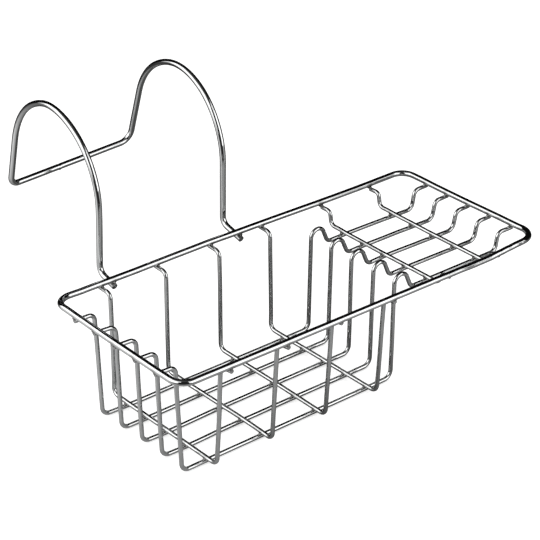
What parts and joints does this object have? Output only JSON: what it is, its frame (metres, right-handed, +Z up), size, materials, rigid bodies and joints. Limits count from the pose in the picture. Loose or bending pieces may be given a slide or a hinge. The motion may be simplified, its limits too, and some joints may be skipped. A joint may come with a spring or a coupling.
{
  "type": "bath caddy",
  "caption": "Chrome wire bath caddy: a deep basket with a shallow soap tray at one end, hung over the bath's edge by an arched wire hook frame",
  "frame": {"origin": "middle of the footprint, on the surface that the basket's floor wires rest on", "axes": "+X along the caddy from the basket end to the soap-tray end, +Y towards the bath's edge that the hooks reach over, +Z up"},
  "size_m": [0.3802, 0.3173, 0.2267],
  "materials": {
    "chrome_heavy_wire": "bright chrome plate on drawn steel wire",
    "chrome_thin_wire": "bright chrome plate on thin drawn steel wire, slightly duller at the welds"
  },
  "bodies": {
    "root": {"rim_frame": "chrome_heavy_wire", "hook_frame": "chrome_heavy_wire", "long_wire_1": "chrome_thin_wire", "long_wire_2": "chrome_thin_wire", "long_wire_3": "chrome_thin_wire", "long_wire_4": "chrome_thin_wire", "long_wire_5": "chrome_thin_wire", "basket_cross_wire_1": "chrome_thin_wire", "basket_cross_wire_2": "chrome_thin_wire", "basket_cross_wire_3": "chrome_thin_wire", "basket_cross_wire_4": "chrome_thin_wire", "tray_cross_wire_1": "chrome_thin_wire", "tray_cross_wire_2": "chrome_thin_wire"}
  },
  "joints": []
}
